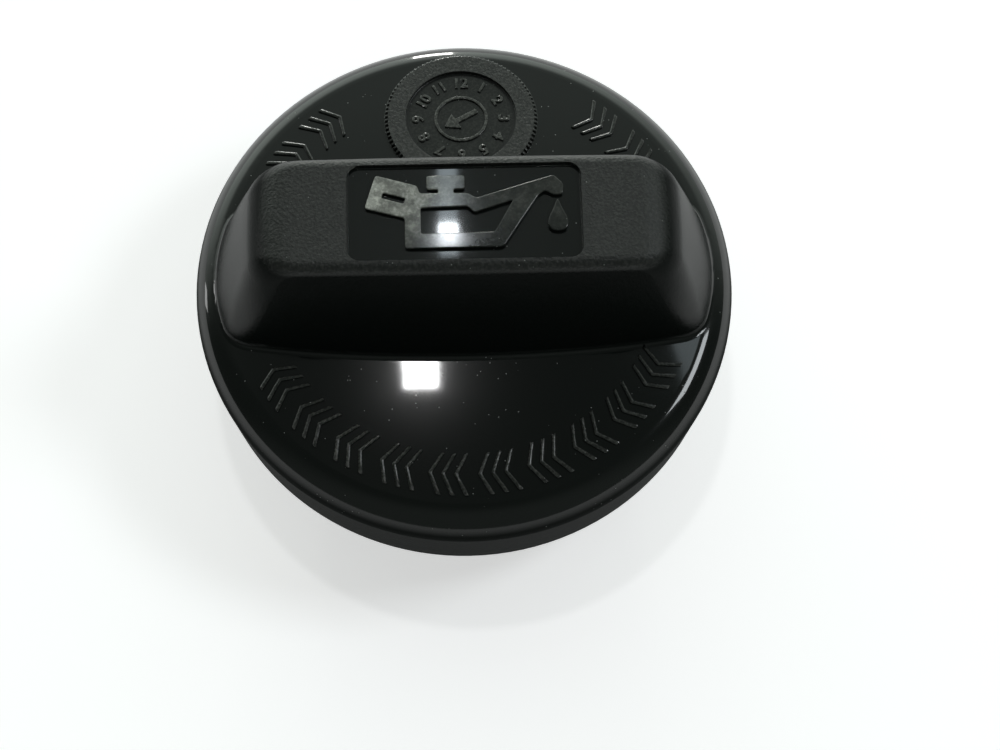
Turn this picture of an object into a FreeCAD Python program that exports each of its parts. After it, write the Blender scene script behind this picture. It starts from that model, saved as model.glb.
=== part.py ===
"""Engine oil filler cap: a moulded screw cap with a bar grip, and its rubber sealing ring.

Millimetres. The origin is the centre of the spigot's lower end, +Z is up, and the grip runs along X.
"""
import FreeCAD, Part
import os
import Sketcher

doc = FreeCAD.newDocument("oil_filler_cap")

# Driving dimensions
SIZES = {
    "cap_diameter": (60.0, "across the parting line, where the cap is widest"),
    "skirt_height": (8.5, "parting line down to the skirt's lower edge"),
    "skirt_draft": (0.9, "how far the lower edge stands in from the parting line"),
    "skirt_wall": (2.4, "wall of the skirt"),
    "skirt_edge_rounding": (0.6, "rounding of the skirt's lower edges"),
    "edge_rounding": (3.6, "radius from the skirt over to the dome"),
    "dome_radius": (190.0, "spherical radius of the dome"),
    "seat_rise": (1.4, "gasket seat above the parting line"),
    "spigot_reach": (9.0, "spigot end below the skirt's lower edge"),
    "spigot_diameter": (35.0, "outside of the spigot, at the thread's root"),
    "spigot_wall": (2.5, "wall of the spigot"),
    "spigot_chamfer": (0.8, "lead-in on the spigot's end"),
    "bore_rise": (2.7, "ceiling of the spigot's bore above the parting line"),
    "seal_groove_depth": (0.6, "groove round the spigot's root that holds the sealing ring"),
    "gusset_count": (12, "gussets between the plate and the skirt"),
    "gusset_thickness": (1.3, "thickness of one gusset"),
    "gusset_length": (2.6, "reach of a gusset inward from the skirt"),
    "gusset_height": (4.5, "drop of a gusset down the skirt"),
    "grip_height": (19.3, "top of the grip above the parting line"),
    "grip_root_cover": (0.4, "plastic between the gasket seat and the grip's root outline"),
    "grip_root_length": (52.4, "root outline, corner to corner along X"),
    "grip_root_depth": (16.0, "root outline, corner to corner along Y"),
    "grip_root_side_bulge": (3.6, "how far the long sides bow out at the root"),
    "grip_root_end_bulge": (1.9, "how far the ends bow out at the root"),
    "grip_top_length": (43.6, "top outline along X, before rounding"),
    "grip_top_depth": (13.0, "top outline along Y, before rounding"),
    "grip_end_rounding": (5.0, "radius where the top turns down into the ends"),
    "grip_top_rounding": (1.3, "radius along the long edges of the top"),
    "grip_corner_rounding": (3.5, "radius of the upright corners"),
    "grip_foot_blend": (0.8, "fillet between the grip and the dome"),
    "grip_wall": (2.4, "wall left around the grip's hollow"),
    "hollow_clearance": (0.6, "how far the hollow stands in from the bore's wall"),
    "hollow_draft": (1.2, "how far the hollow's ends lean in towards its top"),
    "rib_thickness": (1.6, "cross ribs in the grip's hollow"),
    "rib_spacing": (9.5, "distance between the two cross ribs"),
    "panel_length": (24.6, "sunk sign panel along X"),
    "panel_depth": (11.0, "sunk sign panel along Y"),
    "panel_corner": (1.4, "corner radius of the panel"),
    "panel_sink": (0.6, "how deep the panel lies"),
    "medallion_offset": (18.7, "medallion's centre from the cap's axis"),
    "medallion_diameter": (16.6, "outside of the medallion's ring"),
    "medallion_bore": (12.6, "inside of the medallion's ring"),
    "medallion_height": (0.45, "ring above the dome"),
    "medallion_sink": (0.05, "floor inside the ring below the dome"),
    "ring_width": (5.2, "sealing ring, radially"),
    "ring_thickness": (3.2, "sealing ring, along the axis"),
    "ring_rounding": (0.5, "rounding of the sealing ring's outer edges"),
    "ring_groove_width": (1.4, "groove between the ring's two lips"),
    "ring_groove_depth": (0.5, "depth of that groove"),
}
sheet = doc.addObject("Spreadsheet::Sheet", "Sizes")
for row, (alias, (value, meaning)) in enumerate(SIZES.items(), start=1):
    sheet.set("A%d" % row, alias)
    sheet.set("B%d" % row, str(value))
    sheet.set("C%d" % row, meaning)
    sheet.setAlias("B%d" % row, alias)
doc.recompute()

# Heights and radii that several features share, as expressions on the sheet
SKIRT_LOW = "Sizes.spigot_reach"
PARTING = "(Sizes.spigot_reach + Sizes.skirt_height)"
SEAT = "(%s + Sizes.seat_rise)" % PARTING
RING_LOW = "(%s - Sizes.ring_thickness)" % SEAT
BORE_TOP = "(%s + Sizes.bore_rise)" % PARTING
GRIP_ROOT = "(%s + Sizes.grip_root_cover)" % SEAT
GRIP_TOP = "(%s + Sizes.grip_height)" % PARTING
PANEL_FLOOR = "(%s - Sizes.panel_sink)" % GRIP_TOP
HOLLOW_TOP = "(%s - Sizes.grip_wall)" % PANEL_FLOOR
CAP_RADIUS = "(Sizes.cap_diameter / 2)"
ROUNDING_CENTRE = "(%s - Sizes.edge_rounding)" % CAP_RADIUS
SKIRT_LOW_RADIUS = "(%s - Sizes.skirt_draft)" % CAP_RADIUS
SKIRT_INNER_LOW = "(%s - Sizes.skirt_wall)" % SKIRT_LOW_RADIUS
SKIRT_INNER_TOP = "(%s - Sizes.skirt_wall)" % CAP_RADIUS
SPIGOT_RADIUS = "(Sizes.spigot_diameter / 2)"
SEAL_RADIUS = "(%s - Sizes.seal_groove_depth)" % SPIGOT_RADIUS
BORE_RADIUS = "(%s - Sizes.spigot_wall)" % SPIGOT_RADIUS
DOME_CENTRE = "(%s - sqrt((Sizes.dome_radius - Sizes.edge_rounding)^2 - %s^2))" % (PARTING, ROUNDING_CENTRE)
CLOSE = 0.001
MOSTLY = 0.5
SEAM_POINTS = 7


def number(expression):
    """Value of an expression on the sheet."""
    return float(sheet.evalExpression(expression))


def new_sketch(body, name, role, height="0"):
    """Sketch on one of the body's own origin planes, raised along the plane's normal."""
    sketch = body.newObject("Sketcher::SketchObject", name)
    plane = [feature for feature in body.Origin.OriginFeatures if feature.Role == role][0]
    sketch.AttachmentSupport = (plane, "")
    sketch.MapMode = "FlatFace"
    if height != "0":
        sketch.setExpression("AttachmentOffset.Base.z", height)
    return sketch


def loose_sketch(name, height):
    """Level sketch at a height, for a loft."""
    sketch = doc.addObject("Sketcher::SketchObject", name)
    sketch.setExpression("Placement.Base.z", height)
    return sketch


def hold(sketch, kind, *references, expression):
    """Dimension in a sketch, bound to the sheet."""
    index = sketch.addConstraint(Sketcher.Constraint(kind, *references, number(expression)))
    sketch.setExpression("Constraints[%d]" % index, expression)


def place(sketch, geometry, point, across, up):
    """Ties a point of a sketch to its two coordinates."""
    for kind, axis, expression in (("DistanceX", -2, across), ("DistanceY", -1, up)):
        if expression == "0":
            sketch.addConstraint(Sketcher.Constraint("PointOnObject", geometry, point, axis))
        else:
            hold(sketch, kind, -1, 1, geometry, point, expression=expression)


def draw_lines(sketch, corners, closed):
    """Straight lines through corners given as pairs of expressions."""
    points = [FreeCAD.Vector(number(across), number(up), 0) for across, up in corners]
    pairs = list(zip(points, points[1:] + points[:1]))
    for start, end in pairs if closed else pairs[:-1]:
        sketch.addGeometry(Part.LineSegment(start, end))
    last = len(pairs) - 1
    for index, corner in enumerate(corners):
        if closed or index < last:
            place(sketch, index, 1, *corner)
        else:
            place(sketch, index - 1, 2, *corner)
    for index in range(last if closed else last - 1):
        sketch.addConstraint(Sketcher.Constraint("Coincident", index, 2, index + 1, 1))
    if closed:
        sketch.addConstraint(Sketcher.Constraint("Coincident", last, 2, 0, 1))


def draw_barrel(sketch, half_length, half_depth, side_bulge=None, end_bulge=None):
    """Four-sided outline about the origin, from the front side round, with sides that may bow out."""
    length, depth = number(half_length), number(half_depth)
    quarters = ((-1, -1), (1, -1), (1, 1), (-1, 1))
    corners = [FreeCAD.Vector(x * length, y * depth, 0) for x, y in quarters]
    outward = [FreeCAD.Vector(x, y, 0) for x, y in ((0, -1), (1, 0), (0, 1), (-1, 0))]
    for side in range(4):
        start, end = corners[side], corners[(side + 1) % 4]
        bulge = (side_bulge, end_bulge)[side % 2]
        if bulge is None:
            sketch.addGeometry(Part.LineSegment(start, end))
        else:
            crest = (start + end) * 0.5 + outward[side] * number(bulge)
            sketch.addGeometry(Part.Arc(start, crest, end))
    for side in range(4):
        sketch.addConstraint(Sketcher.Constraint("Coincident", side, 2, (side + 1) % 4, 1))
    place(sketch, 2, 1, half_length, half_depth)
    sketch.addConstraint(Sketcher.Constraint("Symmetric", 1, 1, 2, 1, -1))
    sketch.addConstraint(Sketcher.Constraint("Symmetric", 3, 1, 2, 1, -2))
    sketch.addConstraint(Sketcher.Constraint("Symmetric", 0, 1, 1, 1, -2))
    for side in range(4):
        bulge = (side_bulge, end_bulge)[side % 2]
        half_chord = (half_length, half_depth)[side % 2]
        if bulge is not None:
            radius = "((%s)^2 + (%s)^2) / (2 * (%s))" % (half_chord, bulge, bulge)
            hold(sketch, "Radius", side, expression=radius)


def draw_slot(sketch, half_length, radius):
    """Slot about the origin along X with round ends."""
    middle, end = number(half_length) - number(radius), number(radius)
    right, left = FreeCAD.Vector(middle, 0, 0), FreeCAD.Vector(-middle, 0, 0)
    rise, out = FreeCAD.Vector(0, end, 0), FreeCAD.Vector(end, 0, 0)
    sketch.addGeometry(Part.LineSegment(left - rise, right - rise))
    sketch.addGeometry(Part.Arc(right - rise, right + out, right + rise))
    sketch.addGeometry(Part.LineSegment(right + rise, left + rise))
    sketch.addGeometry(Part.Arc(left + rise, left - out, left - rise))
    for side in range(4):
        sketch.addConstraint(Sketcher.Constraint("Tangent", side, 2, (side + 1) % 4, 1))
    sketch.addConstraint(Sketcher.Constraint("Symmetric", 1, 3, 3, 3, -1, 1))
    sketch.addConstraint(Sketcher.Constraint("PointOnObject", 1, 3, -1))
    hold(sketch, "Radius", 1, expression=radius)
    hold(sketch, "DistanceX", -1, 1, 1, 3, expression="(%s) - (%s)" % (half_length, radius))


def edge_names(shape, wanted):
    return ["Edge%d" % index for index, edge in enumerate(shape.Edges, start=1) if wanted(edge)]


def is_circle(edge, radius, height):
    """True for a circle about the cap's axis with this radius and height."""
    if edge.Degenerated or edge.Curve.TypeId != "Part::GeomCircle":
        return False
    curve = edge.Curve
    return abs(curve.Radius - number(radius)) < CLOSE and abs(curve.Center.z - number(height)) < CLOSE


def dress(body, kind, name, base, wanted, size_property, expression):
    """Fillet or chamfer on the wanted edges of the body's last feature."""
    feature = body.newObject(kind, name)
    feature.Base = (base, edge_names(base.Shape, wanted))
    feature.setExpression(size_property, expression)
    body.Tip = feature
    doc.recompute()
    return feature


def joined(kind, name, base, tool):
    """Boolean of two objects of the document."""
    result = doc.addObject(kind, name)
    result.Base = base
    result.Tool = tool
    doc.recompute()
    return result


# Turned shell: dome, rounded edge, drafted skirt, gasket seat and grooved spigot, all about the Z axis
shell = doc.addObject("PartDesign::Body", "turned_shell")
section = new_sketch(shell, "shell_section", "XZ_Plane")
draw_lines(
    section,
    [
        ("0", "0"),
        (SPIGOT_RADIUS, "0"),
        (SPIGOT_RADIUS, RING_LOW),
        (SEAL_RADIUS, RING_LOW),
        (SEAL_RADIUS, SEAT),
        (SKIRT_INNER_TOP, SEAT),
        (SKIRT_INNER_LOW, SKIRT_LOW),
        (SKIRT_LOW_RADIUS, SKIRT_LOW),
        (CAP_RADIUS, PARTING),
    ],
    closed=False,
)
rounding_centre = FreeCAD.Vector(number(ROUNDING_CENTRE), number(PARTING), 0)
dome_centre = FreeCAD.Vector(0, number(DOME_CENTRE), 0)
tangent_way = (rounding_centre - dome_centre).normalize()
tangent_angle = FreeCAD.Vector(1, 0, 0).getAngle(tangent_way)
upright = FreeCAD.Vector(1, 0, 0).getAngle(FreeCAD.Vector(0, 1, 0))
facing = FreeCAD.Vector(0, 0, 1)
edge_circle = Part.Circle(rounding_centre, facing, number("Sizes.edge_rounding"))
dome_circle = Part.Circle(dome_centre, facing, number("Sizes.dome_radius"))
LAST_LINE = section.GeometryCount - 1
EDGE_ARC = section.addGeometry(Part.ArcOfCircle(edge_circle, 0, tangent_angle))
DOME_ARC = section.addGeometry(Part.ArcOfCircle(dome_circle, tangent_angle, upright))
apex = FreeCAD.Vector(0, number(DOME_CENTRE) + number("Sizes.dome_radius"), 0)
AXIS_LINE = section.addGeometry(Part.LineSegment(apex, FreeCAD.Vector(0, 0, 0)))
section.addConstraint(Sketcher.Constraint("Coincident", LAST_LINE, 2, EDGE_ARC, 1))
section.addConstraint(Sketcher.Constraint("Tangent", EDGE_ARC, 2, DOME_ARC, 1))
section.addConstraint(Sketcher.Constraint("Coincident", DOME_ARC, 2, AXIS_LINE, 1))
section.addConstraint(Sketcher.Constraint("Coincident", AXIS_LINE, 2, 0, 1))
section.addConstraint(Sketcher.Constraint("PointOnObject", DOME_ARC, 3, -2))
section.addConstraint(Sketcher.Constraint("PointOnObject", DOME_ARC, 2, -2))
hold(section, "DistanceY", -1, 1, EDGE_ARC, 3, expression=PARTING)
hold(section, "Radius", EDGE_ARC, expression="Sizes.edge_rounding")
hold(section, "Radius", DOME_ARC, expression="Sizes.dome_radius")
turned = shell.newObject("PartDesign::Revolution", "turned")
turned.Profile = section
turned.ReferenceAxis = (section, ["V_Axis"])
doc.recompute()


def on_spigot_rim(edge):
    return is_circle(edge, SPIGOT_RADIUS, "0")


def on_skirt_rim(edge):
    return is_circle(edge, SKIRT_LOW_RADIUS, SKIRT_LOW) or is_circle(edge, SKIRT_INNER_LOW, SKIRT_LOW)


lead_in = dress(
    shell, "PartDesign::Chamfer", "spigot_lead_in", turned, on_spigot_rim, "Size", "Sizes.spigot_chamfer"
)
dress(shell, "PartDesign::Fillet", "skirt_rim", lead_in, on_skirt_rim, "Radius", "Sizes.skirt_edge_rounding")

# Gussets that stiffen the skirt against the plate, one drawn and turned round the axis
GUSSET_SINK = "(Sizes.skirt_wall / 4)"
GUSSET_LOW = "(%s - Sizes.gusset_height)" % SEAT
GUSSET_INNER = "(%s - Sizes.gusset_length)" % SKIRT_INNER_TOP
gusset_outline = new_sketch(shell, "gusset_outline", "XZ_Plane")
draw_lines(
    gusset_outline,
    [
        (GUSSET_INNER, SEAT),
        (SKIRT_INNER_TOP, GUSSET_LOW),
        ("(%s + %s)" % (SKIRT_INNER_TOP, GUSSET_SINK), GUSSET_LOW),
        ("(%s + %s)" % (SKIRT_INNER_TOP, GUSSET_SINK), "(%s + %s)" % (SEAT, GUSSET_SINK)),
        (GUSSET_INNER, "(%s + %s)" % (SEAT, GUSSET_SINK)),
    ],
    closed=True,
)
gusset = shell.newObject("PartDesign::Pad", "gusset")
gusset.Profile = gusset_outline
gusset.SideType = "Symmetric"
gusset.setExpression("Length", "Sizes.gusset_thickness")
shell.Tip = gusset
doc.recompute()
gussets = shell.newObject("PartDesign::PolarPattern", "gussets")
gussets.Originals = [gusset]
gussets.Axis = (gusset_outline, ["V_Axis"])
gussets.setExpression("Occurrences", "Sizes.gusset_count")
shell.Tip = gussets
doc.recompute()

# Bar grip: lofted from a bowed root outline to a straight-sided top
root_outline = loose_sketch("grip_root_outline", GRIP_ROOT)
draw_barrel(
    root_outline,
    "Sizes.grip_root_length / 2",
    "Sizes.grip_root_depth / 2",
    "Sizes.grip_root_side_bulge",
    "Sizes.grip_root_end_bulge",
)
top_outline = loose_sketch("grip_top_outline", GRIP_TOP)
draw_barrel(top_outline, "Sizes.grip_top_length / 2", "Sizes.grip_top_depth / 2")
bar = doc.addObject("Part::Loft", "grip_bar")
bar.Sections = [root_outline, top_outline]
bar.Solid = True
bar.Ruled = True
doc.recompute()

# The top turns down into the ends on a large radius. The long edges are rounded tightly along the
# top and open out down the upright corners.
TOP_Z = number(GRIP_TOP)
ROOT_Z = number(GRIP_ROOT)
END_ROUNDING = number("Sizes.grip_end_rounding")
TOP_ROUNDING = number("Sizes.grip_top_rounding")
CORNER_ROUNDING = number("Sizes.grip_corner_rounding")


def at_top(point):
    return TOP_Z - point.z < CLOSE


def runs_along_y(edge):
    return abs(edge.tangentAt(edge.FirstParameter).y) > MOSTLY


grip_ends = doc.addObject("Part::Fillet", "grip_ends")
grip_ends.Base = bar
grip_ends.Edges = [
    (index, END_ROUNDING, END_ROUNDING)
    for index, edge in enumerate(bar.Shape.Edges, start=1)
    if all(at_top(vertex.Point) for vertex in edge.Vertexes) and runs_along_y(edge)
]
doc.recompute()


def faces_sideways(face):
    first_u, last_u, first_v, last_v = face.ParameterRange
    return abs(face.normalAt((first_u + last_u) / 2, (first_v + last_v) / 2).y) > MOSTLY


long_sides = [face for face in grip_ends.Shape.Faces if faces_sideways(face)]
rounded_edges = []
for index, edge in enumerate(grip_ends.Shape.Edges, start=1):
    on_side = any(edge.isSame(other) for face in long_sides for other in face.Edges)
    on_root = all(vertex.Point.z - ROOT_Z < CLOSE for vertex in edge.Vertexes)
    if on_side and not on_root:
        ends = [edge.valueAt(edge.FirstParameter), edge.valueAt(edge.LastParameter)]
        if edge.Orientation == "Reversed":
            ends.reverse()
        radii = [TOP_ROUNDING if at_top(point) else CORNER_ROUNDING for point in ends]
        rounded_edges.append((index, *radii))
grip_rounded = doc.addObject("Part::Fillet", "grip_rounded")
grip_rounded.Base = grip_ends
grip_rounded.Edges = rounded_edges
doc.recompute()

# Grip and shell become one moulding, with a small fillet all round the grip's foot
shell_with_grip = joined("Part::Fuse", "shell_with_grip", shell, grip_rounded)


def on_shell(point):
    """True for a point on the dome or on the rounded edge."""
    radius = (point.x ** 2 + point.y ** 2) ** 0.5
    dome = FreeCAD.Vector(radius, point.z - number(DOME_CENTRE), 0).Length - number("Sizes.dome_radius")
    edge = FreeCAD.Vector(radius - number(ROUNDING_CENTRE), point.z - number(PARTING), 0).Length
    return abs(dome) < CLOSE or abs(edge - number("Sizes.edge_rounding")) < CLOSE


def is_foot(edge):
    """True for the seam between the grip and the shell."""
    if edge.Degenerated:
        return False
    points = edge.discretize(SEAM_POINTS)
    if not all(on_shell(point) for point in points):
        return False
    radii = [(point.x ** 2 + point.y ** 2) ** 0.5 for point in points]
    turned_circle = max(radii) - min(radii) < CLOSE
    turned_seam = max(abs(point.y) for point in points) < CLOSE
    return not turned_circle and not turned_seam


foot_blend = doc.addObject("Part::Fillet", "foot_blend")
foot_blend.Base = shell_with_grip
BLEND = number("Sizes.grip_foot_blend")
foot_blend.Edges = [
    (index, BLEND, BLEND)
    for index, edge in enumerate(shell_with_grip.Shape.Edges, start=1)
    if is_foot(edge)
]
doc.recompute()

# Medallion: a raised ring that leans with the dome, with a floor sunk a little inside it
MEDALLION_LEAN = "asin(Sizes.medallion_offset / Sizes.dome_radius)"
MEDALLION_Z = "(%s + sqrt(Sizes.dome_radius^2 - Sizes.medallion_offset^2))" % DOME_CENTRE


def leaning_disc(name, diameter, below, above):
    """Round disc square to the dome at the medallion's centre, from below the dome to above it."""
    disc = doc.addObject("Part::Cylinder", name)
    disc.Placement.Rotation = FreeCAD.Rotation(FreeCAD.Vector(-1, 0, 0), number(MEDALLION_LEAN))
    disc.setExpression("Radius", "%s / 2" % diameter)
    disc.setExpression("Height", "%s + %s" % (below, above))
    disc.setExpression("Placement.Rotation.Angle", MEDALLION_LEAN)
    disc.setExpression("Placement.Base.y", "Sizes.medallion_offset - %s * sin(%s)" % (below, MEDALLION_LEAN))
    disc.setExpression("Placement.Base.z", "%s - %s * cos(%s)" % (MEDALLION_Z, below, MEDALLION_LEAN))
    return disc


RING_TOP = "Sizes.medallion_height"
CUT_TOP = "(2 * Sizes.medallion_height)"
medallion_ring = leaning_disc("medallion_ring", "Sizes.medallion_diameter", RING_TOP, RING_TOP)
medallion_floor = leaning_disc("medallion_floor", "Sizes.medallion_bore", "Sizes.medallion_sink", CUT_TOP)
with_ring = joined("Part::Fuse", "with_medallion", foot_blend, medallion_ring)
with_medallion = joined("Part::Cut", "with_medallion_floor", with_ring, medallion_floor)

# Sign panel: a shallow rounded rectangle sunk into the grip's top
panel = doc.addObject("PartDesign::Body", "sign_panel")
panel_outline = new_sketch(panel, "panel_outline", "XY_Plane", PANEL_FLOOR)
draw_barrel(panel_outline, "Sizes.panel_length / 2", "Sizes.panel_depth / 2")
panel_block = panel.newObject("PartDesign::Pad", "panel_block")
panel_block.Profile = panel_outline
panel_block.setExpression("Length", "2 * Sizes.panel_sink")
panel.Tip = panel_block
doc.recompute()


def stands_upright(edge):
    return abs(edge.tangentAt(edge.FirstParameter).z) > MOSTLY


dress(
    panel, "PartDesign::Fillet", "panel_corners", panel_block, stands_upright, "Radius", "Sizes.panel_corner"
)
with_panel = joined("Part::Cut", "with_sign_panel", with_medallion, panel)

# Spigot bore, open at the spigot's lower end
bore = doc.addObject("Part::Cylinder", "spigot_bore")
bore.setExpression("Radius", BORE_RADIUS)
bore.setExpression("Height", BORE_TOP)
with_bore = joined("Part::Cut", "with_bore", with_panel, bore)

# Hollow of the grip: a tapered slot that opens into the bore, crossed by two ribs
GRIP_ROOT_HALF_DEPTH = "(Sizes.grip_root_depth / 2 + Sizes.grip_root_side_bulge)"
HOLLOW_HALF_LENGTH = "(%s - Sizes.hollow_clearance)" % BORE_RADIUS
hollow_mouth = loose_sketch("hollow_mouth", GRIP_ROOT)
draw_slot(hollow_mouth, HOLLOW_HALF_LENGTH, "(%s - Sizes.grip_wall)" % GRIP_ROOT_HALF_DEPTH)
hollow_roof = loose_sketch("hollow_roof", HOLLOW_TOP)
draw_slot(
    hollow_roof,
    "(%s - Sizes.hollow_draft)" % HOLLOW_HALF_LENGTH,
    "(Sizes.grip_top_depth / 2 - Sizes.grip_wall)",
)
hollow = doc.addObject("Part::Loft", "grip_hollow")
hollow.Sections = [hollow_mouth, hollow_roof]
hollow.Solid = True
hollow.Ruled = True
doc.recompute()
for name, side in (("left_rib", "-"), ("right_rib", "")):
    rib = doc.addObject("Part::Box", name)
    rib.setExpression("Length", "Sizes.rib_thickness")
    rib.setExpression("Width", "2 * %s" % GRIP_ROOT_HALF_DEPTH)
    rib.setExpression("Height", "%s - %s" % (GRIP_TOP, BORE_TOP))
    rib.setExpression("Placement.Base.x", "%sSizes.rib_spacing / 2 - Sizes.rib_thickness / 2" % side)
    rib.setExpression("Placement.Base.y", "-%s" % GRIP_ROOT_HALF_DEPTH)
    rib.setExpression("Placement.Base.z", BORE_TOP)
    hollow = joined("Part::Cut", "hollow_beside_%s" % name, hollow, rib)
cap = joined("Part::Cut", "cap", with_bore, hollow)

# Sealing ring: a rubber ring with two lips, held in the spigot's groove against the plate
ring = doc.addObject("PartDesign::Body", "sealing_ring")
ring_section = new_sketch(ring, "ring_section", "XZ_Plane")
RING_OUTER = "(%s + Sizes.ring_width)" % SEAL_RADIUS
RING_MIDDLE = "(%s + Sizes.ring_width / 2)" % SEAL_RADIUS
GROOVE_INNER = "(%s - Sizes.ring_groove_width / 2)" % RING_MIDDLE
GROOVE_OUTER = "(%s + Sizes.ring_groove_width / 2)" % RING_MIDDLE
GROOVE_ROOF = "(%s + Sizes.ring_groove_depth)" % RING_LOW
draw_lines(
    ring_section,
    [
        (SEAL_RADIUS, RING_LOW),
        (GROOVE_INNER, RING_LOW),
        (GROOVE_INNER, GROOVE_ROOF),
        (GROOVE_OUTER, GROOVE_ROOF),
        (GROOVE_OUTER, RING_LOW),
        (RING_OUTER, RING_LOW),
        (RING_OUTER, SEAT),
        (SEAL_RADIUS, SEAT),
    ],
    closed=True,
)
ring_turned = ring.newObject("PartDesign::Revolution", "ring_turned")
ring_turned.Profile = ring_section
ring_turned.ReferenceAxis = (ring_section, ["V_Axis"])
ring.Tip = ring_turned
doc.recompute()


def on_ring_rim(edge):
    return is_circle(edge, RING_OUTER, RING_LOW) or is_circle(edge, RING_OUTER, SEAT)


dress(ring, "PartDesign::Fillet", "ring_rims", ring_turned, on_ring_rim, "Radius", "Sizes.ring_rounding")

# Every feature has to be sound before anything is written
for feature in doc.Objects:
    if "Invalid" in feature.State or "Error" in feature.State:
        raise RuntimeError("%s failed to build" % feature.Label)
os.makedirs("parts", exist_ok=True)
for node in (cap, ring):
    solids = node.Shape.Solids
    if len(solids) != 1 or not node.Shape.isValid():
        raise RuntimeError("%s isn't one sound solid" % node.Label)
    solids[0].exportStep("parts/%s.step" % node.Label)
    print(node.Label, round(node.Shape.Volume, 1), "cubic mm,", len(node.Shape.Faces), "faces")
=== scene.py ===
"""Engine oil filler cap: finishes, raised signs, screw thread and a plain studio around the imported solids.

Metres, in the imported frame: the origin is under the spigot's end, +Z is up, and the grip runs along X.
"""
from math import asin, cos, pi, radians, sin, sqrt
import bpy
from mathutils import Euler, Matrix, Vector


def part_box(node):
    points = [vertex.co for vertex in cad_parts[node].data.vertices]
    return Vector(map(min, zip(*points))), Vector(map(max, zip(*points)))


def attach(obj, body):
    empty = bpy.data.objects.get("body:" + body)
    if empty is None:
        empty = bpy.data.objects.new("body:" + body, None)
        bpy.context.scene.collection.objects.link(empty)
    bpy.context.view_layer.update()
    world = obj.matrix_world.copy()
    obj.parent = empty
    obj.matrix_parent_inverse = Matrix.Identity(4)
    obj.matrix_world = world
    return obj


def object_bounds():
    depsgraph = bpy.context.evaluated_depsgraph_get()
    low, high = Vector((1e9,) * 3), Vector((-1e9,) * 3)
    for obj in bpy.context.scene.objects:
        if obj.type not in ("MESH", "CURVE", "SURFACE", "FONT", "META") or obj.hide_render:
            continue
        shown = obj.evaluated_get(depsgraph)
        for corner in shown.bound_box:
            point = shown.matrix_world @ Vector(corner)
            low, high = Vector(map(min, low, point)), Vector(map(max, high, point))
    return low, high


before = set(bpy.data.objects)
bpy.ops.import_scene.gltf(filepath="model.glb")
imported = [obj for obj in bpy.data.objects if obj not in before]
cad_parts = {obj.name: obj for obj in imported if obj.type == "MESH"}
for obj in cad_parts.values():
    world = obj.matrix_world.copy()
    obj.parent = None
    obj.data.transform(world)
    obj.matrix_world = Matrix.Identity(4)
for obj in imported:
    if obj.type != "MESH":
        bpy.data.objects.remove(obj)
cad_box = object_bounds()

# Cap: one black injection moulding with dome, skirt, hollow bar grip, medallion and spigot.
# Glass-filled nylon. The mould was polished for the dome and the sign panel and spark-eroded for the
# grip, and handling has dulled the rim, so one material changes its finish from place to place.
mm = 0.001
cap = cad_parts["cap"]
GRIP_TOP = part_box("cap")[1][2]
PARTING = GRIP_TOP - 19.3 * mm
CAP_RADIUS = (cad_box[1][0] - cad_box[0][0]) / 2
EDGE_ROUNDING = 3.6 * mm
DOME_RADIUS = 190 * mm
DOME_CENTRE = PARTING - sqrt((DOME_RADIUS - EDGE_ROUNDING) ** 2 - (CAP_RADIUS - EDGE_ROUNDING) ** 2)
PANEL_FLOOR = GRIP_TOP - 0.6 * mm
PANEL_HALF_LENGTH = 12.3 * mm
PANEL_HALF_DEPTH = 5.5 * mm
MEDALLION_OFFSET = 18.7 * mm
MEDALLION_RADIUS = 8.3 * mm
MEDALLION_BORE = 6.3 * mm
MEDALLION_LEAN = asin(MEDALLION_OFFSET / DOME_RADIUS)
TOOTH_CREST = MEDALLION_RADIUS + 0.3 * mm


class Shade:
    """Output socket of a shader node, so that shader maths reads as arithmetic."""

    def __init__(self, tree, socket=None):
        self.tree = tree
        self.socket = socket

    def node(self, kind, settings, sockets, output=0):
        """Any node, from its type, its settings, and the values or links of its sockets."""
        made = self.tree.nodes.new("ShaderNode" + kind)
        for name, value in settings.items():
            setattr(made, name, value)
        for name, value in sockets.items():
            if isinstance(value, Shade):
                self.tree.links.new(value.socket, made.inputs[name])
            else:
                made.inputs[name].default_value = value
        return Shade(self.tree, made.outputs[output])

    def math(self, operation, *others):
        return self.node("Math", {"operation": operation}, dict(enumerate((self, *others))))

    def __add__(self, other):
        return self.math("ADD", other)

    __radd__ = __add__

    def __sub__(self, other):
        return self.math("SUBTRACT", other)

    def __rsub__(self, other):
        return self.node("Math", {"operation": "SUBTRACT"}, {0: other, 1: self})

    def __mul__(self, other):
        return self.math("MULTIPLY", other)

    __rmul__ = __mul__

    def rise(self, start, end):
        """0 below start, 1 above end, smooth between."""
        return self.node(
            "MapRange",
            {"interpolation_type": "SMOOTHSTEP"},
            {"Value": self, "From Min": start, "From Max": end},
        )

    def size(self):
        return self.math("ABSOLUTE")

    def root(self):
        return self.math("SQRT")

    def or_more(self, other):
        return self.math("MAXIMUM", other)

    def blend(self, low, high):
        """low where this is 0, high where it is 1, for numbers."""
        return low + self * (high - low)

    def tint(self, low, high):
        """low where this is 0, high where it is 1, for colours."""
        return self.node("Mix", {"data_type": "RGBA"}, {0: self, 6: low, 7: high}, 2)

    def parts(self):
        """The three coordinates of a place or direction."""
        return [self.node("SeparateXYZ", {}, {"Vector": self}, axis) for axis in "XYZ"]


def new_finish(name):
    """Material with a plain shader, and that shader."""
    finish = bpy.data.materials.new(name)
    finish.use_nodes = True
    return finish, finish.node_tree.nodes["Principled BSDF"]


def frame_place(finish):
    """Place in the frame of each point of a surface."""
    return Shade(finish.node_tree).node("TexCoord", {}, {}, "Object")


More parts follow.
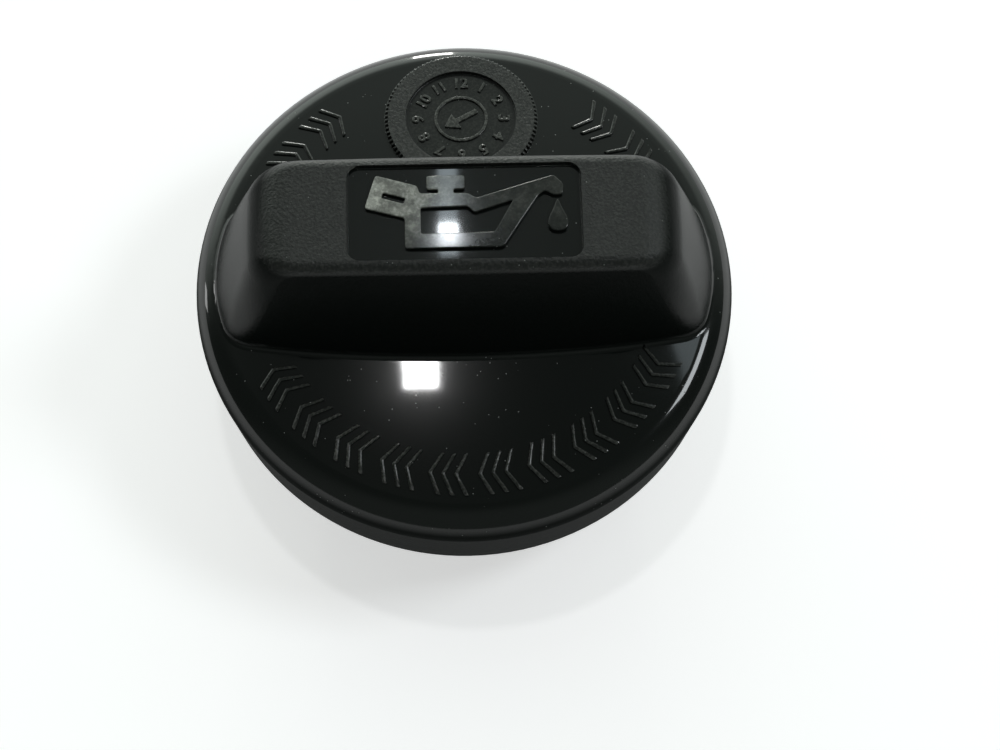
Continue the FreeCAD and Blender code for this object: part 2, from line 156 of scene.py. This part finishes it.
def wire(target, **sockets):
    """Links values that vary over a surface to a node."""
    for name, value in sockets.items():
        value.tree.links.new(value.socket, target.inputs[name.replace("_", " ")])


def noise(place, size, detail=2.0):
    """Cloudy pattern whose lumps are about this size."""
    return place.node("TexNoise", {}, {"Vector": place, "Scale": 1 / size, "Detail": detail})


# Where each finish lies, 1 on it and 0 off it, fading over a band from its start to its end
CREST_BAND = (TOOTH_CREST, TOOTH_CREST + 0.2 * mm)
RING_TOP_BAND = (0.48 * mm, 0.56 * mm)
BORE_BAND = (MEDALLION_BORE - 0.1 * mm, MEDALLION_BORE)
DIAL_BAND = (MEDALLION_BORE - 0.5 * mm, MEDALLION_BORE - 0.3 * mm)
NUMBER_BAND = (0.02 * mm, 0.1 * mm)
GRIP_REACH_BAND = (21 * mm, 21.3 * mm)
GRIP_SIDE_BAND = (9.6 * mm, 9.9 * mm)
GRIP_FOOT_BAND = (0.05 * mm, 0.25 * mm)
GRIP_TOP_BAND = (GRIP_TOP - 1.4 * mm, GRIP_TOP - 0.2 * mm)
GRIP_END_BAND = (20.5 * mm, 24 * mm)
MARK_BAND = (0.08 * mm, 0.2 * mm)
PANEL_END_BAND = (PANEL_HALF_LENGTH - 0.15 * mm, PANEL_HALF_LENGTH - 0.05 * mm)
PANEL_SIDE_BAND = (PANEL_HALF_DEPTH - 0.15 * mm, PANEL_HALF_DEPTH - 0.05 * mm)
PANEL_RIM_BAND = (GRIP_TOP - 0.06 * mm, GRIP_TOP - 0.02 * mm)
PANEL_FLOOR_BAND = (PANEL_FLOOR - 0.3 * mm, PANEL_FLOOR - 0.1 * mm)
SIGN_BAND = (PANEL_FLOOR + 0.25 * mm, PANEL_FLOOR + 0.4 * mm)
PARTING_BAND = (PARTING - 0.15 * mm, PARTING + 0.15 * mm)
WORN_RIM_BAND = (PARTING + 0.8 * mm, PARTING + 2.6 * mm)
black_plastic, plastic = new_finish("black_plastic")
place = frame_place(black_plastic)
x, y, z = place.parts()
above_dome = z - DOME_CENTRE - (DOME_RADIUS ** 2 - x * x - y * y).root()
out_from_medallion = y - MEDALLION_OFFSET
from_medallion = (x * x + out_from_medallion * out_from_medallion).root()
over_medallion = y * sin(MEDALLION_LEAN) + (z - DOME_CENTRE) * cos(MEDALLION_LEAN) - DOME_RADIUS
on_medallion = (1 - from_medallion.rise(*CREST_BAND)) * (1 - over_medallion.rise(*RING_TOP_BAND))
on_medallion_ring = on_medallion * from_medallion.rise(*BORE_BAND)
in_medallion = on_medallion * (1 - from_medallion.rise(*DIAL_BAND))
on_numbers = in_medallion * over_medallion.rise(*NUMBER_BAND)
from_axis = (x * x + y * y).root()
clear_of_grip = from_axis.rise(*GRIP_REACH_BAND) * y.size().rise(*GRIP_SIDE_BAND)
on_marks = above_dome.rise(*MARK_BAND) * clear_of_grip * (1 - on_medallion)
on_grip = above_dome.rise(*GRIP_FOOT_BAND) * (1 - clear_of_grip) * (1 - on_medallion)
on_grip_top = z.rise(*GRIP_TOP_BAND)
on_grip_end = x.size().rise(*GRIP_END_BAND)
along_panel = 1 - x.size().rise(*PANEL_END_BAND)
across_panel = 1 - y.size().rise(*PANEL_SIDE_BAND)
under_panel_rim = 1 - z.rise(*PANEL_RIM_BAND)
over_panel_floor = z.rise(*PANEL_FLOOR_BAND)
in_panel = along_panel * across_panel * under_panel_rim * over_panel_floor
on_sign = in_panel * z.rise(*SIGN_BAND)
on_rough_grip = on_grip * (1 - in_panel)
below_parting = 1 - z.rise(*PARTING_BAND)
on_worn_rim = 1 - z.rise(*WORN_RIM_BAND)

# Grain that spark erosion leaves, and how much of it each place keeps
GRAIN_SIZE = 0.3 * mm
GRAIN_DEPTH = 0.11 * mm
GRIP_SIDE_GRAIN = 0.25
RING_GRAIN = 0.7
MARK_GRAIN = 0.35
SKIRT_GRAIN = 0.4
MOTTLE_SIZE = 5 * mm
WAVE_SIZE = 7 * mm
WAVE_SHARE = 0.02
grain = noise(place, GRAIN_SIZE, detail=3.0)
mottle = noise(place, MOTTLE_SIZE)
waves = noise(place, WAVE_SIZE, detail=0.0)
eroded = on_rough_grip * on_grip_top.blend(GRIP_SIDE_GRAIN, 1)
eroded = eroded.or_more(on_medallion_ring * RING_GRAIN).or_more(on_marks * MARK_GRAIN)
eroded = eroded.or_more(below_parting * SKIRT_GRAIN)
height = eroded * grain + waves * WAVE_SHARE
bumps = height.node("Bump", {}, {"Distance": GRAIN_DEPTH, "Height": height}, "Normal")

# Colour: black, with dust in patches and scuffs, and with painted sheen that makes the sign lighter towards
# its far left and darker towards its near right
BLACK = (0.0052, 0.0069, 0.0060, 1)
SCUFFED_AND_SHEEN = (0.60, 0.61, 0.55, 1)
DUSTY = (0.20, 0.21, 0.20, 1)
DUST_X = 2.3 * mm
DUST_Y = -14 * mm
DUST_SPACING = 0.8 * mm
DUST_CLOUD_SIZE = 2.3 * mm
DUST_SPECK_BAND = (0.05, 0.11)
DUST_PATCH_BAND = (0.52, 0.6)
THICK_DUST_REACH = (2.5 * mm, 5.5 * mm)
THICK_DUST_BAND = (0.38, 0.46)
FLECK_BAND = (0.4, 0.68)
SMEAR_SIZE = 1.3 * mm
SMEAR_BAND = (0.38, 0.62)
# Spread of the painted sheen over the sign: lightest at the far left, faint at the right and near side
SIGN_PAINTED_SHEEN_ACROSS = (-10 * mm, 2 * mm)
SIGN_PAINTED_SHEEN_ALONG = (-4.5 * mm, 1.5 * mm)
SIGN_PAINTED_SHEEN_RIGHT = 0.08
SIGN_PAINTED_SHEEN_NEAR = 0.15
SMEAR_LEAST = 0.5
SIGN_FLECK_LEAST = 0.6
FLECK_LEAST = 0.3
GRIP_WEAR = 0.034
MARK_WEAR = 0.075
RING_WEAR = 0.06
DIAL_WEAR = 0.035
NUMBER_WEAR = 0.13
dust_cells = place.node("TexVoronoi", {}, {"Vector": place, "Scale": 1 / DUST_SPACING}, "Distance")
dust_clouds = noise(place, DUST_CLOUD_SIZE, detail=1.0)
from_dust = ((x - DUST_X) * (x - DUST_X) + (y - DUST_Y) * (y - DUST_Y)).root()
thick_dust = (1 - from_dust.rise(*THICK_DUST_REACH)) * dust_clouds.rise(*THICK_DUST_BAND)
dust_patches = dust_clouds.rise(*DUST_PATCH_BAND).or_more(thick_dust) * on_grip.blend(1, on_grip_top)
dust = (1 - dust_cells.rise(*DUST_SPECK_BAND)) * dust_patches * (1 - below_parting)
flecks = grain.rise(*FLECK_BAND)
smears = noise(place, SMEAR_SIZE).rise(*SMEAR_BAND)
# Painted sheen: the sign's light grey fades from its far left to its near right where its sheen falls; the
# smears and flecks over it are scuffs
sign_scuffs_and_painted_sheen = on_sign * (1 - x.rise(*SIGN_PAINTED_SHEEN_ACROSS)).blend(SIGN_PAINTED_SHEEN_RIGHT, 1)
sign_scuffs_and_painted_sheen = sign_scuffs_and_painted_sheen * y.rise(*SIGN_PAINTED_SHEEN_ALONG).blend(SIGN_PAINTED_SHEEN_NEAR, 1)
worn = on_rough_grip * on_grip_top * GRIP_WEAR + on_marks * MARK_WEAR
worn = worn + on_medallion_ring * RING_WEAR + in_medallion * DIAL_WEAR + on_numbers * NUMBER_WEAR
scuffs_and_painted_sheen = sign_scuffs_and_painted_sheen * smears.blend(SMEAR_LEAST, 1) * flecks.blend(SIGN_FLECK_LEAST, 1)
scuffs_and_painted_sheen = scuffs_and_painted_sheen + worn * flecks.blend(FLECK_LEAST, 1)
colour = dust.tint(scuffs_and_painted_sheen.tint(BLACK, SCUFFED_AND_SHEEN), DUSTY)

# Roughness of each place, least and most, with a faint haze over the polished places
DOME_ROUGHNESS = (0.04, 0.065)
GRIP_SIDE_ROUGHNESS = (0.2, 0.28)
GRIP_TOP_ROUGHNESS = (0.34, 0.52)
SIGN_ROUGHNESS = (0.05, 0.07)
MARK_ROUGHNESS = (0.1, 0.15)
RING_ROUGHNESS = (0.26, 0.38)
DIAL_ROUGHNESS = (0.1, 0.2)
RIM_ROUGHNESS = (0.4, 0.56)
PANEL_POLISH = 0.03
DULL_ROUGHNESS = 0.7
PLASTIC_IOR = 1.45
HAZE_WEIGHT = 0.1
HAZE_ROUGHNESS = 0.2
grip_rough = on_grip_top.blend(grain.blend(*GRIP_SIDE_ROUGHNESS), grain.blend(*GRIP_TOP_ROUGHNESS))
rough = on_grip.blend(mottle.blend(*DOME_ROUGHNESS), grip_rough)
rough = on_sign.blend(in_panel.blend(rough, PANEL_POLISH), grain.blend(*SIGN_ROUGHNESS))
rough = on_marks.blend(rough, grain.blend(*MARK_ROUGHNESS))
rough = on_medallion.blend(rough, grain.blend(*RING_ROUGHNESS))
rough = in_medallion.blend(rough, mottle.blend(*DIAL_ROUGHNESS))
rough = dust.blend(on_worn_rim.blend(rough, grain.blend(*RIM_ROUGHNESS)), DULL_ROUGHNESS)
hazed = in_panel.or_more((1 - on_grip) * (1 - on_medallion)) * (1 - on_worn_rim)
wire(plastic, Base_Color=colour, Roughness=rough, Normal=bumps, Coat_Weight=hazed * HAZE_WEIGHT)
plastic.inputs["Coat Roughness"].default_value = HAZE_ROUGHNESS
plastic.inputs["IOR"].default_value = PLASTIC_IOR

# Dull plastic, and its share where the mould was rough or the cap is worn
DULL_SPECULAR = 0.012
DULL_GRIP_SIDE = 0.9
DULL_GRIP_END = 0.62
DULL_GRIP_TOP = 0.1
DULL_RIM = 0.97
DULL_SKIRT = 0.88
dull_plastic = colour.node(
    "BsdfPrincipled",
    {},
    {
        "Base Color": colour, "Normal": bumps,
        "Roughness": DULL_ROUGHNESS, "Specular IOR Level": DULL_SPECULAR,
    },
)
dull = on_rough_grip * on_grip_top.blend(on_grip_end.blend(DULL_GRIP_SIDE, DULL_GRIP_END), DULL_GRIP_TOP)
dull = dull.or_more(on_worn_rim * below_parting.blend(DULL_RIM, DULL_SKIRT))
polished_plastic = Shade(black_plastic.node_tree, plastic.outputs["BSDF"])
finished = dull.node("MixShader", {}, {0: dull, 1: polished_plastic, 2: dull_plastic})
wire(black_plastic.node_tree.nodes["Material Output"], Surface=finished)
cap.data.materials[0] = black_plastic

# Screw thread: coarse right-hand ridge round the spigot, part of the same moulding.
# Its rounded crest runs out to nothing at both ends, where the mould's core unscrews.
SPIGOT_RADIUS = 17.5 * mm
THREAD_PITCH = 4 * mm
THREAD_LOW = 2.4 * mm
THREAD_TURNS = 2.6
THREAD_STEPS = 320
THREAD_SINK = 0.2 * mm
THREAD_FOOT = -1.15 * mm
THREAD_FLANK = [(0.0, -1.05), (0.75, -0.62), (1.0, -0.42), (1.1, -0.14)]
THREAD_PROFILE = [(-THREAD_SINK, THREAD_FOOT)] + [(out * mm, along * mm) for out, along in THREAD_FLANK]
THREAD_PROFILE += [(out, -along) for out, along in reversed(THREAD_PROFILE)]
RUN_OUT = 0.09
SHARP_ANGLE = radians(38)


def new_piece(name, points, faces, finish):
    """Mesh object that rides on the cap, smooth except across sharp edges."""
    mesh = bpy.data.meshes.new(name)
    mesh.from_pydata(points, [], faces)
    mesh.validate()
    mesh.polygons.foreach_set("use_smooth", [True] * len(mesh.polygons))
    mesh.set_sharp_from_angle(angle=SHARP_ANGLE)
    mesh.materials.append(finish)
    piece = bpy.data.objects.new(name, mesh)
    bpy.context.scene.collection.objects.link(piece)
    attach(piece, "root")


def swept(rings):
    """Points and faces of a closed tube through equal rings of points, with both ends shut."""
    count = len(rings[0])
    points = [point for ring in rings for point in ring]
    faces = []
    for step in range(len(rings) - 1):
        low = step * count
        for side in range(count):
            other = (side + 1) % count
            faces.append((low + side, low + other, low + count + other, low + count + side))
    faces.append(tuple(reversed(range(count))))
    faces.append(tuple(range(len(points) - count, len(points))))
    return points, faces


thread_rings = []
for step in range(THREAD_STEPS + 1):
    share = step / THREAD_STEPS
    turn = 2 * pi * THREAD_TURNS * share
    swell = min(1, share / RUN_OUT, (1 - share) / RUN_OUT)
    swell = swell * swell * (3 - 2 * swell)
    climb = THREAD_LOW + THREAD_PITCH * THREAD_TURNS * share
    ring = []
    for out, along in THREAD_PROFILE:
        reach = SPIGOT_RADIUS + (out + THREAD_SINK) * swell - THREAD_SINK
        ring.append((reach * cos(turn), reach * sin(turn), climb + along))
    thread_rings.append(ring)
new_piece("screw_thread", *swept(thread_rings), black_plastic)

# Sealing ring: two-lipped ring of black nitrile rubber, stretched into the spigot's groove.
# Compression moulded, so it is dull, with a faint grey bloom.
RUBBER = (0.018, 0.018, 0.019, 1)
BLOOM = (0.045, 0.046, 0.047, 1)
BLOOM_SIZE = 3 * mm
BLOOM_BAND = (0.42, 0.75)
PORE_SIZE = 0.15 * mm
PORE_DEPTH = 0.02 * mm
PORE_STRENGTH = 0.6
RUBBER_ROUGHNESS = (0.58, 0.78)
seal_rubber, rubber = new_finish("seal_rubber")
rubber_place = frame_place(seal_rubber)
bloom = noise(rubber_place, BLOOM_SIZE, detail=4.0).rise(*BLOOM_BAND)
pores = noise(rubber_place, PORE_SIZE)
pore_bumps = pores.node(
    "Bump", {}, {"Strength": PORE_STRENGTH, "Distance": PORE_DEPTH, "Height": pores}, "Normal"
)
rubber_rough = bloom.blend(*RUBBER_ROUGHNESS)
wire(rubber, Base_Color=bloom.tint(RUBBER, BLOOM), Roughness=rubber_rough, Normal=pore_bumps)
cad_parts["sealing_ring"].data.materials[0] = seal_rubber

# Oil-can sign: raised on the floor of the sunk panel and moulded with the cap.
# It is the common dashboard sign for engine oil, a can with a long spout and a falling drop.
# Its outlines are in mm from the panel's middle.
SIGN_HEIGHT = 0.52 * mm
SIGN_SINK = 0.1 * mm
SIGN_EDGE = 0.1 * mm
CAN_OUTLINE = [
    (-6.25, -4.15), (3.95, -4.15), (7.75, 1.75), (8.45, 2.3), (9.35, 1.75), (10.35, 1.85),
    (10.45, 3.05), (9.4, 4.1), (1.25, 1.55), (0.35, 2.15), (-1.1, 2.15), (-1.1, 2.6),
    (0.1, 2.6), (0.1, 4.2), (-3.95, 4.2), (-3.95, 2.6), (-2.75, 2.6), (-2.75, 2.15), (-4.7, 2.15),
    (-4.9, 3.05), (-9.3, 4.35), (-10.45, 0.55), (-6.25, -0.65),
]
CAN_CORNER = 0.35
CAN_WINDOW = [(-4.6, 0.5), (0.3, 0.6), (1.0, -0.15), (5.1, 1.25), (3.1, -2.4), (-4.6, -2.5)]
WINDOW_CORNER = 0.25
HANDLE_SLOT = [(-8.5, 2.35), (-6.15, 1.65), (-6.35, 1.0), (-8.7, 1.7)]
SLOT_CORNER = 0.2
DROP = [
    (9.75, 1.5), (10.15, 0.35), (10.75, -0.9), (10.85, -1.7), (10.5, -2.25), (9.75, -2.45),
    (9.0, -2.25), (8.65, -1.7), (8.75, -0.9), (9.35, 0.35),
]
DROP_CORNER = 0.8
LONGEST_CORNER = 0.45
CORNER_STEPS = 4
EDGE_STEPS = 2


def rounded(corners, radius):
    """Closed outline with every corner turned on a radius, or on less where its sides are short."""
    outline = []
    for index, corner in enumerate(corners):
        here = Vector(corner)
        before = Vector(corners[index - 1]) - here
        after = Vector(corners[(index + 1) % len(corners)]) - here
        reach = min(radius, before.length * LONGEST_CORNER, after.length * LONGEST_CORNER)
        start = here + before.normalized() * reach
        end = here + after.normalized() * reach
        for step in range(CORNER_STEPS + 1):
            share = step / CORNER_STEPS
            way = start.lerp(here, share).lerp(here.lerp(end, share), share)
            outline.append((way.x, way.y))
    return outline


def from_curve(drawing, height, sink, edge, edge_steps):
    """Points and faces of a filled curve or text: raised to a height, sunk below 0, edges rounded."""
    drawing.extrude = (height + sink) / 2 - edge
    drawing.bevel_depth = edge
    drawing.bevel_resolution = edge_steps
    shown = bpy.data.objects.new("drawing", drawing)
    bpy.context.scene.collection.objects.link(shown)
    bpy.context.view_layer.update()
    ready = shown.evaluated_get(bpy.context.evaluated_depsgraph_get())
    mesh = bpy.data.meshes.new_from_object(ready)
    lift = Vector((0, 0, (height - sink) / 2))
    points = [vertex.co + lift for vertex in mesh.vertices]
    faces = [tuple(polygon.vertices) for polygon in mesh.polygons]
    bpy.data.objects.remove(shown)
    bpy.data.meshes.remove(mesh)
    return points, faces


def raised(outlines, height, sink, edge):
    """Points and faces of flat raised work: outlines in mm, holes among them."""
    drawing = bpy.data.curves.new("drawing", "CURVE")
    drawing.dimensions = "2D"
    drawing.fill_mode = "BOTH"
    drawing.offset = -edge
    for outline in outlines:
        spline = drawing.splines.new("POLY")
        spline.points.add(len(outline) - 1)
        for point, (across, up) in zip(spline.points, outline):
            point.co = (across * mm, up * mm, 0, 1)
        spline.use_cyclic_u = True
    return from_curve(drawing, height, sink, edge, EDGE_STEPS)


sign_outlines = [rounded(CAN_OUTLINE, CAN_CORNER), rounded(CAN_WINDOW, WINDOW_CORNER)]
sign_outlines += [rounded(HANDLE_SLOT, SLOT_CORNER), rounded(DROP, DROP_CORNER)]
sign_points, sign_faces = raised(sign_outlines, SIGN_HEIGHT, SIGN_SINK, SIGN_EDGE)
sign_points = [point + Vector((0, 0, PANEL_FLOOR)) for point in sign_points]
new_piece("oil_can_sign", sign_points, sign_faces, black_plastic)

# Turning marks: raised triple chevrons round the dome, part of the moulding: ten along the near side
# and a pair on each side of the medallion. They point clockwise, the way the cap is screwed tight.
# Each row has the angle of its first mark and its count, and a chevron's sizes are in mm.
MARK_PITCH = radians(12.9)
MARK_ROWS = [(radians(213), 10), (radians(130), 2), (radians(36.5), 2)]
MARK_RADIUS = 23.8 * mm
MARK_HEIGHT = 0.28 * mm
MARK_SINK = 0.26 * mm
MARK_EDGE = 0.2 * mm
MARK_CORNER = 0.15
CHEVRON_HALF = 2.3
CHEVRON_LEAN = 1.15
CHEVRON_STROKE = 0.5
CHEVRON_STARTS = (-1.65, -0.25, 1.15)


def on_dome(across, along, lift):
    """Point of the dome at a place in plan, lifted square to the dome."""
    foot = Vector((across, along, DOME_CENTRE + sqrt(DOME_RADIUS ** 2 - across ** 2 - along ** 2)))
    return foot + (foot - Vector((0, 0, DOME_CENTRE))).normalized() * lift


def joined(parts):
    """Points and faces of several pieces of a mesh as one."""
    points, faces = [], []
    for part_points, part_faces in parts:
        faces += [tuple(len(points) + corner for corner in face) for face in part_faces]
        points += part_points
    return points, faces


chevrons = []
for start in CHEVRON_STARTS:
    near, far = start + CHEVRON_STROKE, start + CHEVRON_LEAN
    chevron = [
        (start, -CHEVRON_HALF), (near, -CHEVRON_HALF), (far + CHEVRON_STROKE, 0),
        (near, CHEVRON_HALF), (start, CHEVRON_HALF), (far, 0),
    ]
    chevrons.append(rounded([(along - CHEVRON_LEAN / 2, out) for along, out in chevron], MARK_CORNER))
mark_points, mark_faces = raised(chevrons, MARK_HEIGHT, MARK_SINK, MARK_EDGE)
marks = []
for first, count in MARK_ROWS:
    for index in range(count):
        placed = []
        for point in mark_points:
            turn = first + MARK_PITCH * index - point.x / MARK_RADIUS
            reach = MARK_RADIUS + point.y
            placed.append(on_dome(reach * cos(turn), reach * sin(turn), point.z))
        marks.append((placed, mark_faces))
new_piece("turning_marks", *joined(marks), black_plastic)

# Medallion knurl: fine teeth round the outside of the raised ring, cut by the mould's round insert.
# They stop where the ring runs into the foot of the grip.
TOOTH_PITCH = 0.55 * mm
TOOTH_ROOT = MEDALLION_RADIUS - 0.05 * mm
TOOTH_FLANK = 0.12 * mm
TOOTH_SHAPE = [(0.0, TOOTH_ROOT), (0.3, TOOTH_CREST), (0.6, TOOTH_CREST), (0.9, TOOTH_ROOT)]
COLLAR_INNER = MEDALLION_RADIUS - 0.3 * mm
COLLAR_LOW = -0.5 * mm
COLLAR_SHOULDER = 0.26 * mm
COLLAR_TOP = 0.42 * mm
KNURL_START = radians(-52)
KNURL_END = radians(232)
medallion_frame = Matrix.Translation(on_dome(0, MEDALLION_OFFSET, 0))
medallion_frame = medallion_frame @ Matrix.Rotation(-MEDALLION_LEAN, 4, "X")
tooth_count = round((KNURL_END - KNURL_START) * MEDALLION_RADIUS / TOOTH_PITCH)
tooth_angle = (KNURL_END - KNURL_START) / tooth_count
collar_rings = []
for tooth in range(tooth_count):
    for share, reach in TOOTH_SHAPE:
        turn = KNURL_START + (tooth + share) * tooth_angle
        section = [
            (COLLAR_INNER, COLLAR_LOW), (reach + TOOTH_FLANK, COLLAR_LOW), (reach, COLLAR_SHOULDER),
            (min(reach, MEDALLION_RADIUS), COLLAR_TOP), (COLLAR_INNER, COLLAR_TOP),
        ]
        corners = [Vector((out * cos(turn), out * sin(turn), up)) for out, up in section]
        collar_rings.append([medallion_frame @ corner for corner in corners])
new_piece("medallion_knurl", *swept(collar_rings), black_plastic)

# Date dial: numbers of the months round a pointer on the medallion's floor, as a mould's date insert
# leaves them. Raised and moulded with the cap. The hub and the arrow are in mm.
MONTHS = 12
MONTH_RADIUS = 4.8 * mm
MONTH_SIZE = 1.8 * mm
MONTH_EDGE_STEPS = 1
DIAL_FLOOR = -0.05 * mm
DIAL_HEIGHT = 0.22 * mm
DIAL_SINK = 0.1 * mm
DIAL_EDGE = 0.07 * mm
HUB_RADIUS = 3.05
HUB_BORE = 2.7
HUB_STEPS = 48
POINTS_AT = 8
ARROW = [(-0.3, -2.1), (0.3, -2.1), (0.3, 0.6), (1.15, 0.6), (0, 2.2), (-1.15, 0.6), (-0.3, 0.6)]
ARROW_CORNER = 0.12


def circle(radius):
    """Closed outline of a circle."""
    turns = [2 * pi * step / HUB_STEPS for step in range(HUB_STEPS)]
    return [(radius * cos(turn), radius * sin(turn)) for turn in turns]


def month_turn(month):
    """Turn from the top of the dial, clockwise, to a month."""
    return Matrix.Rotation(-2 * pi * month / MONTHS, 4, "Z")


arrow = [month_turn(POINTS_AT) @ Vector((across, up, 0)) for across, up in ARROW]
arrow = rounded([(corner.x, corner.y) for corner in arrow], ARROW_CORNER)
dial = [raised([circle(HUB_RADIUS), circle(HUB_BORE), arrow], DIAL_HEIGHT, DIAL_SINK, DIAL_EDGE)]
for month in range(1, MONTHS + 1):
    number = bpy.data.curves.new("number", "FONT")
    number.body = str(month)
    number.size = MONTH_SIZE
    number.align_x = "CENTER"
    number.align_y = "CENTER"
    points, faces = from_curve(number, DIAL_HEIGHT, DIAL_SINK, DIAL_EDGE, MONTH_EDGE_STEPS)
    spot = month_turn(month) @ Matrix.Translation((0, MONTH_RADIUS, 0))
    dial.append(([spot @ point for point in points], faces))
dial_points, dial_faces = joined(dial)
dial_points = [medallion_frame @ (point + Vector((0, 0, DIAL_FLOOR))) for point in dial_points]
new_piece("date_dial", dial_points, dial_faces, black_plastic)

# Floor: wide pale table that the cap stands on. Seen by the camera or in a reflection it is white
# but for the cap's shadow.
FLOOR_HALF = 3.0
FLOOR_COLOUR = (0.86, 0.86, 0.86, 1)
FLOOR_ROUGHNESS = 0.9
NO_GLOW = (0, 0, 0, 1)
FLOOR_GLOW = (0.56, 0.56, 0.56, 1)
floor_mesh = bpy.data.meshes.new("floor")
floor_corners = [(-FLOOR_HALF, -FLOOR_HALF, 0), (FLOOR_HALF, -FLOOR_HALF, 0)]
floor_corners += [(FLOOR_HALF, FLOOR_HALF, 0), (-FLOOR_HALF, FLOOR_HALF, 0)]
floor_mesh.from_pydata(floor_corners, [], [(0, 1, 2, 3)])
floor = bpy.data.objects.new("floor", floor_mesh)
bpy.context.scene.collection.objects.link(floor)
paper, paper_surface = new_finish("paper")
paper_surface.inputs["Base Color"].default_value = FLOOR_COLOUR
paper_surface.inputs["Roughness"].default_value = FLOOR_ROUGHNESS
paper_surface.inputs["Emission Strength"].default_value = 1
rays = Shade(paper.node_tree)
seen = rays.node("LightPath", {}, {}, "Is Camera Ray")
for way in ("Is Glossy Ray", "Is Transmission Ray"):
    seen = seen.or_more(rays.node("LightPath", {}, {}, way))
wire(paper_surface, Emission_Color=seen.tint(NO_GLOW, FLOOR_GLOW))
floor_mesh.materials.append(paper)

# Studio light: a dim room that is brighter in front and low behind the cap, small ceiling lamps whose
# mirror images fall on the dome and on the sign panel, and windows to the right, left and behind.
# Each lamp has its direction from the dome, its width and depth, its radiance and its colour.
LAMPS = {
    "ceiling_lamp": ((-0.068, 0.236, 0.969), (0.056, 0.056), 90, (1, 1, 1)),
    "panel_lamp": ((0.0, 0.421, 0.907), (0.010, 0.012), 75, (0.9, 0.95, 1)),
    "panel_tube": ((0.0, 0.437, 0.90), (0.010, 0.060), 6.5, (0.8, 0.93, 1)),
    "window_right": ((0.66, 0.09, 0.745), (0.24, 0.26), 11, (0.92, 0.97, 1)),
    "window_right_sky": ((0.405, 0.26, 0.877), (0.13, 0.13), 1.9, (0.82, 0.95, 1)),
    "window_left": ((-0.93, 0.33, 0.08), (0.10, 0.16), 5, (1, 1, 1)),
    "window_behind": ((-0.06, 0.99, 0.09), (0.10, 0.20), 26, (1, 1, 0.95)),
}
LAMP_DISTANCE = 1.0
dome_top = Vector((0, 0, DOME_CENTRE + DOME_RADIUS))
for name, (way, (width, depth), radiance, tone) in LAMPS.items():
    light = bpy.data.lights.new(name, "AREA")
    light.shape = "RECTANGLE"
    light.size = width
    light.size_y = depth
    light.color = tone
    light.energy = radiance * pi * width * depth
    lamp = bpy.data.objects.new(name, light)
    backward = Vector(way).normalized()
    upward = backward.cross(Vector((1, 0, 0))).normalized()
    lamp.location = dome_top + backward * LAMP_DISTANCE
    lamp.rotation_euler = Matrix((upward.cross(backward), upward, backward)).transposed().to_euler()
    bpy.context.scene.collection.objects.link(lamp)

# Room round the cap, whose level follows the direction's shares to the right, back and up
ROOM = (0.90, 1.0, 0.93)
ROOM_DIM = 0.08
ROOM_FRONT = 0.12
ROOM_BEHIND = 0.45
ROOM_LOW_BEHIND = 1.6
FRONT_BAND = (0.1, 0.7)
BEHIND_BAND = (0.1, 0.8)
CEILING_BAND = (0.86, 0.99)
LOW_BEHIND_BAND = (0.2, 0.9)
LOW_BAND = (0.35, 0.6)
RIGHT_BAND = (0.1, 0.7)
RIGHT_SHADE = 0.7
world = bpy.data.worlds.new("room")
world.use_nodes = True
bpy.context.scene.world = world
right, back, up = Shade(world.node_tree).node("TexCoord", {}, {}, "Generated").parts()
level = ROOM_DIM + ROOM_FRONT * (0 - back).rise(*FRONT_BAND)
level = level + ROOM_BEHIND * back.rise(*BEHIND_BAND) * (1 - up.rise(*CEILING_BAND))
low_behind = back.rise(*LOW_BEHIND_BAND) * (1 - up.rise(*LOW_BAND))
low_behind = low_behind * (1 - right.rise(*RIGHT_BAND) * RIGHT_SHADE)
level = level + ROOM_LOW_BEHIND * low_behind
sky = level.node("VectorMath", {"operation": "SCALE"}, {0: ROOM, "Scale": level})
wire(world.node_tree.nodes["Background"], Color=sky)

# Camera: looks down steeply on the cap from the front, turned a little to its left.
# A long lens from a quarter of a metre, aimed off the cap's middle so that the cap sits up and left.
CAMERA_ELEVATION = radians(66)
CAMERA_TURN = radians(1.2)
CAMERA_DISTANCE = 250 * mm
CAMERA_PITCH = radians(-2.29)
CAMERA_YAW = radians(-0.91)
SENSOR_WIDTH_MM = 36
LENS_MM = 80.06
NEAREST_SEEN = 10 * mm
camera_data = bpy.data.cameras.new("camera")
camera_data.sensor_width = SENSOR_WIDTH_MM
camera_data.lens = LENS_MM
camera_data.clip_start = NEAREST_SEEN
camera = bpy.data.objects.new("camera", camera_data)
middle = Vector((0, 0, PARTING))
flat = CAMERA_DISTANCE * cos(CAMERA_ELEVATION)
camera.location = middle + Vector(
    (-flat * sin(CAMERA_TURN), -flat * cos(CAMERA_TURN), CAMERA_DISTANCE * sin(CAMERA_ELEVATION))
)
straight_at_cap = (middle - camera.location).to_track_quat("-Z", "Y")
off_centre = Euler((CAMERA_PITCH, CAMERA_YAW, 0)).to_quaternion()
camera.rotation_euler = (straight_at_cap @ off_centre).to_euler()
bpy.context.scene.collection.objects.link(camera)
bpy.context.scene.camera = camera
bpy.context.scene.view_settings.view_transform = "Standard"
